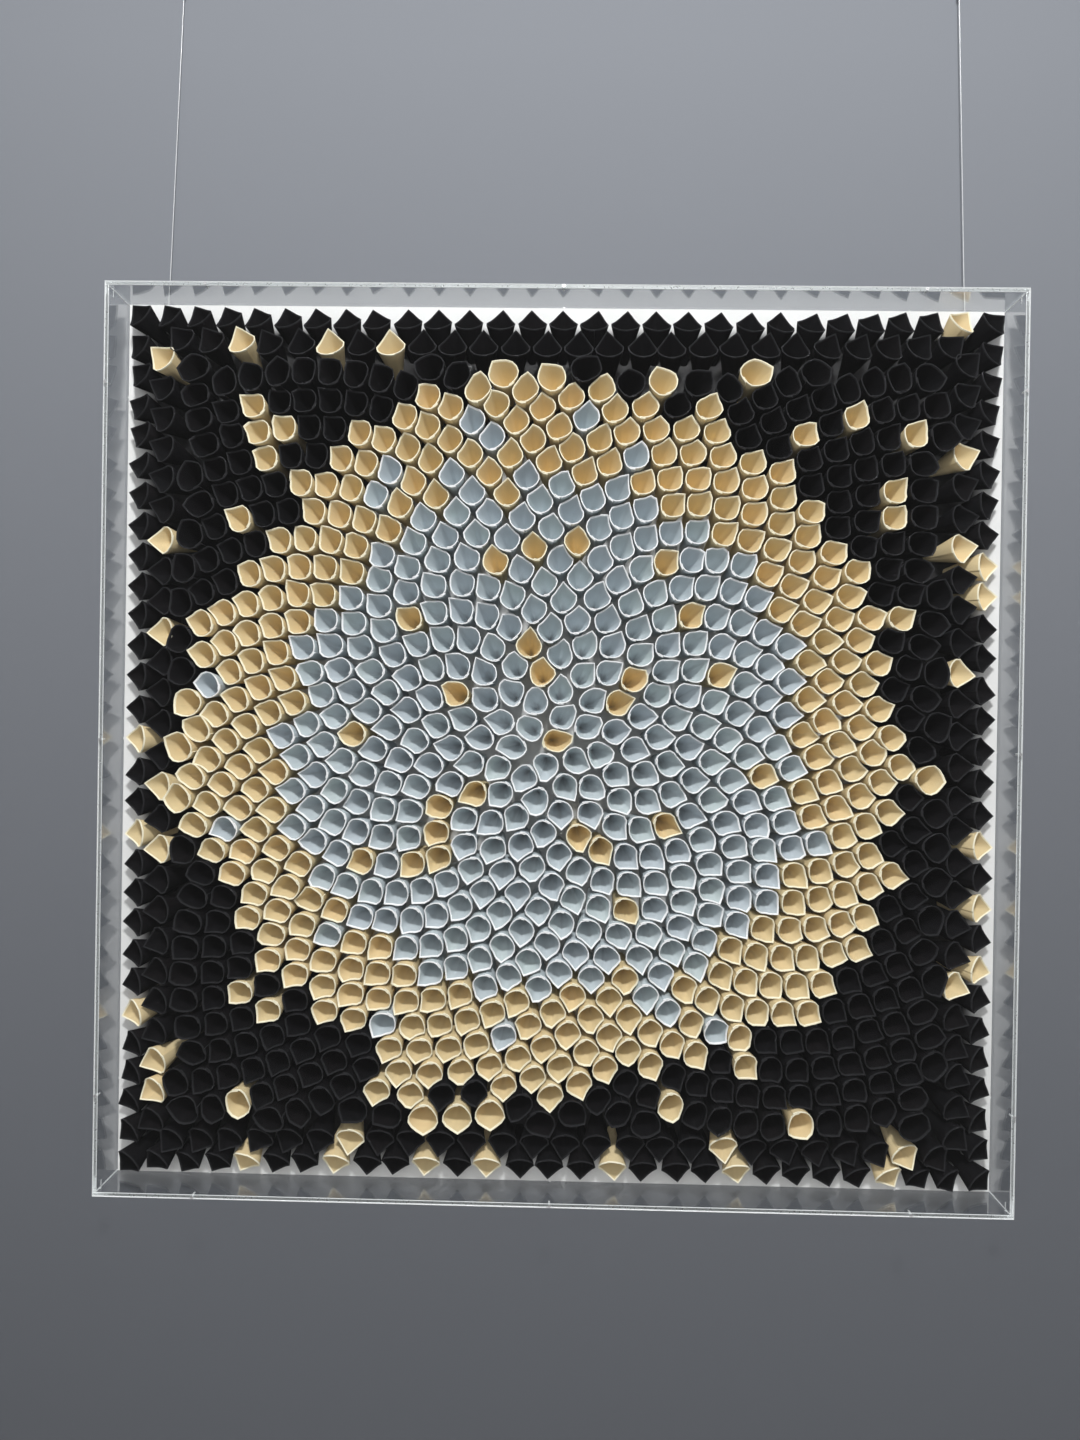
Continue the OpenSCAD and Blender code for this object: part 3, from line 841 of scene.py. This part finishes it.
def makeSheet(name, nodeName, across, cutter):
    low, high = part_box(nodeName)
    clearSelection()
    bpy.ops.mesh.primitive_cube_add(size=2)
    plate = bpy.context.object
    plate.name = plate.data.name = name
    for vert in plate.data.vertices:
        vert.co = [low[i] + acrylic["seat"] if vert.co[i] < 0 else high[i] - acrylic["seat"] for i in range(3)]
    editAll(plate)
    bpy.ops.mesh.bevel(offset=acrylic["ease"], segments=2, affect="EDGES")
    leaveEdit()
    cutAway(plate, cutter)
    plate.data.materials.clear()
    for material in acrylicFinish:
        plate.data.materials.append(material)
    for face in plate.data.polygons:
        lie = max(range(3), key=lambda i: abs(face.normal[i]))
        eased = abs(face.normal[lie]) < 0.98
        face.material_index = 1 if eased else 0 if lie == across else 2 if lie == 1 else 1
    pick(plate)
    bpy.ops.object.shade_flat()
    settle(plate, "clear_acrylic", acrylicFinish, nodeName)
    return plate


holeCutter = makeHoleCutter()
for sheetName, (nodeName, across) in sheets.items():
    made = makeSheet(sheetName, nodeName, across, holeCutter)
    print(sheetName, len(made.data.polygons), "faces")
bpy.data.objects.remove(holeCutter)


# white backing board, with painted shade under the outer cones

# under is painted shade, the near-black board colour beneath the black cones; among keeps the board white under the
# middle cones
boardFace = dict(
    white=((0.80, 0.80, 0.79), (0.87, 0.87, 0.865)), under=(0.006, 0.006, 0.007), among=(0.80, 0.80, 0.79),
    margin=(0.462, 0.474), middle=(0.30, 0.36), faceY=(-0.0112, -0.0116),
)


def makeBoardFinish():
    mat, tree, shader = startMaterial("foamBoard")
    coords = tree.nodes.new("ShaderNodeTexCoord").outputs["Object"]
    broad = noiseNode(tree, coords, 9, 3)
    fine = noiseNode(tree, coords, 700, 3)
    at = tree.nodes.new("ShaderNodeSeparateXYZ")
    tree.links.new(coords, at.inputs[0])
    outX, outZ = (mathNode(tree, "ABSOLUTE", at.outputs[axis]) for axis in "XZ")
    out = mathNode(tree, "MAXIMUM", outX, outZ)
    onFace = rangeNode(tree, at.outputs["Y"], *boardFace["faceY"])
    colour = mixColour(tree, rangeNode(tree, broad, 0.3, 0.7), *boardFace["white"])
    covered = mathNode(tree, "MULTIPLY", rangeNode(tree, out, boardFace["margin"][1], boardFace["margin"][0]), onFace)
    far = tree.nodes.new("ShaderNodeVectorMath")
    far.operation = "LENGTH"
    tree.links.new(coords, far.inputs[0])
    beyond = rangeNode(tree, far.outputs["Value"], *boardFace["middle"])
    under = mixColour(tree, beyond, boardFace["among"], boardFace["under"])
    colour = mixColour(tree, covered, colour, under)  # painted shade: the white board is made near-black under the outer cones only, standing for the shade in the deep gaps between them
    tree.links.new(colour, shader.inputs["Base Color"])
    tree.links.new(rangeNode(tree, fine, 0.3, 0.7, 0.6, 0.78), shader.inputs["Roughness"])
    bumpInto(tree, shader, fine, 0.12, 0.0002)
    return mat


board = nodes["backing_board"]
board.data.materials.clear()
board.data.materials.append(makeBoardFinish())


# hanging lines with their stopper knots, crimped sleeves and loops

hanger = dict(
    x=453 * mm, lean=12 * mm, y=-7 * mm, hole=(496 * mm, 500 * mm), top=855 * mm, straight=3.6 * mm,
    thick=1.0 * mm, sleeveR=1.8 * mm, sleeveH=9 * mm, loopH=18 * mm, loopW=11 * mm, leg=0.6 * mm,
    knotH=4 * mm, knotSpread=0.56 * mm, knotRise=1.3 * mm, knotSteps=48, crimp=(0.72, 0.94), crimpAt=(0.08, 0.35),
    crimpCuts=8, sleeveEase=0.25 * mm, sleeveSides=20, loopSink=0.05 * mm, loopSteps=32, lineSteps=20,
)


def makeLineFinish():
    mat, tree, shader = startMaterial("nylonLine")
    coords = tree.nodes.new("ShaderNodeTexCoord").outputs["Object"]
    haze = noiseNode(tree, coords, 240, 2)
    colour = mixColour(tree, rangeNode(tree, haze, 0.3, 0.7), (0.78, 0.80, 0.82), (0.90, 0.92, 0.93))
    tree.links.new(colour, shader.inputs["Base Color"])
    tree.links.new(rangeNode(tree, haze, 0.3, 0.7, 0.12, 0.24), shader.inputs["Roughness"])
    shader.inputs["IOR"].default_value = 1.53
    shader.inputs["Transmission Weight"].default_value = 0.35
    return mat


def makeSleeveFinish():
    mat, tree, shader = startMaterial("sleeveMetal")
    coords = tree.nodes.new("ShaderNodeTexCoord").outputs["Object"]
    scuff = noiseNode(tree, coords, 1500, 3)
    colour = mixColour(tree, rangeNode(tree, scuff, 0.35, 0.65), (0.60, 0.60, 0.61), (0.78, 0.78, 0.79))
    tree.links.new(colour, shader.inputs["Base Color"])
    shader.inputs["Metallic"].default_value = 1
    tree.links.new(rangeNode(tree, scuff, 0.3, 0.7, 0.3, 0.5), shader.inputs["Roughness"])
    bumpInto(tree, shader, scuff, 0.2, 0.0001)
    return mat


lineFinish, sleeveFinish = makeLineFinish(), makeSleeveFinish()


def strand(name, points, closed=False):
    curve = bpy.data.curves.new(name, "CURVE")
    curve.dimensions = "3D"
    curve.bevel_depth = hanger["thick"] / 2
    curve.bevel_resolution = 2
    curve.use_fill_caps = True
    spline = curve.splines.new("POLY")
    spline.points.add(len(points) - 1)
    for spot, point in zip(spline.points, points):
        spot.co = (*point, 1)
    spline.use_cyclic_u = closed
    ob = bpy.data.objects.new(name, curve)
    bpy.context.scene.collection.objects.link(ob)
    return ob


def asMesh(ob):
    pick(ob)
    bpy.ops.object.convert(target="MESH")
    smooth(ob, 50)
    return ob


def makeSleeve(name, x):
    clearSelection()
    middle = hanger["top"] + hanger["sleeveH"] / 2
    bpy.ops.mesh.primitive_cylinder_add(
        vertices=hanger["sleeveSides"], radius=hanger["sleeveR"], depth=hanger["sleeveH"],
        location=(x, hanger["y"], middle), end_fill_type="NGON",
    )
    sleeve = bpy.context.object
    sleeve.name = name
    bpy.ops.object.transform_apply(location=True)
    editAll(sleeve)
    bpy.ops.mesh.select_mode(type="EDGE")
    bpy.ops.mesh.select_all(action="DESELECT")
    leaveEdit()
    for edge in sleeve.data.edges:
        ends = [sleeve.data.vertices[i].co for i in edge.vertices]
        edge.select = abs(ends[0].z - ends[1].z) > mm
    bpy.ops.object.mode_set(mode="EDIT")
    bpy.ops.mesh.subdivide(number_cuts=hanger["crimpCuts"])
    leaveEdit()
    pressed, full = hanger["crimp"]
    near, far = hanger["crimpAt"]
    for vert in sleeve.data.vertices:  # two crimps squeeze it from front to back
        z = (vert.co.z - middle) / hanger["sleeveH"]
        squeeze = pressed if near < abs(z) < far else full
        vert.co.y = hanger["y"] + (vert.co.y - hanger["y"]) * squeeze
    pick(sleeve)
    bpy.ops.object.modifier_add(type="BEVEL")
    ease = sleeve.modifiers[-1]
    ease.width = hanger["sleeveEase"]
    ease.segments = 2
    ease.limit_method = "ANGLE"
    ease.angle_limit = math.radians(55)
    bpy.ops.object.modifier_apply(modifier=ease.name)
    smooth(sleeve, 40)
    return sleeve


def makeLoop(name, x):
    z0 = hanger["top"] + hanger["sleeveH"]
    points = [(x - hanger["leg"], hanger["y"], z0 + hanger["loopSink"])]
    for i in range(hanger["loopSteps"] + 1):
        q = math.pi * i / hanger["loopSteps"]
        out = -math.cos(q) * (hanger["leg"] + (hanger["loopW"] - 2 * hanger["leg"]) * math.sin(q))
        rise = hanger["thick"] + (hanger["loopH"] - hanger["thick"]) * math.sin(q)
        points.append((x + out, hanger["y"], z0 + rise))
    points.append((x + hanger["leg"], hanger["y"], z0 + hanger["loopSink"]))
    return asMesh(strand(name, points))


def makeKnot(name, x):
    # a three-lobed stopper knot, drawn tight under the wall
    points = []
    spread = hanger["knotSpread"]
    for i in range(hanger["knotSteps"]):
        t = math.tau * i / hanger["knotSteps"]
        points.append((
            x + (math.sin(t) + 2 * math.sin(2 * t)) * spread,
            hanger["y"] + (math.cos(t) - 2 * math.cos(2 * t)) * spread,
            hanger["hole"][0] - hanger["knotH"] / 2 - math.sin(3 * t) * hanger["knotRise"],
        ))
    return asMesh(strand(name, points, True))


for sideName, side in (("left", -1), ("right", 1)):
    foot, head = side * hanger["x"], side * (hanger["x"] - hanger["lean"])
    z0, z1, z2, z3 = hanger["hole"][0], hanger["hole"][1], hanger["top"] - hanger["straight"], hanger["top"]
    route = [(foot, hanger["y"], z0), (foot, hanger["y"], z1)]
    steps = hanger["lineSteps"]
    route += [
        (foot + (head - foot) * k / steps, hanger["y"], z1 + (z2 - z1) * k / steps) for k in range(1, steps + 1)
    ]
    route.append((head, hanger["y"], z3))
    line = strand(sideName + "Line", route)
    settle(line, "clear_line", (lineFinish,), sideName + "_line")
    knot = makeKnot(sideName + "Knot", foot)
    settle(knot, "clear_line", (lineFinish,), sideName + "_knot")
    sleeve = makeSleeve(sideName + "Sleeve", head)
    settle(sleeve, "sleeve_metal", (sleeveFinish,), sideName + "_sleeve")
    loop = makeLoop(sideName + "Loop", head)
    settle(loop, "clear_line", (lineFinish,), sideName + "_loop")

clearSelection()
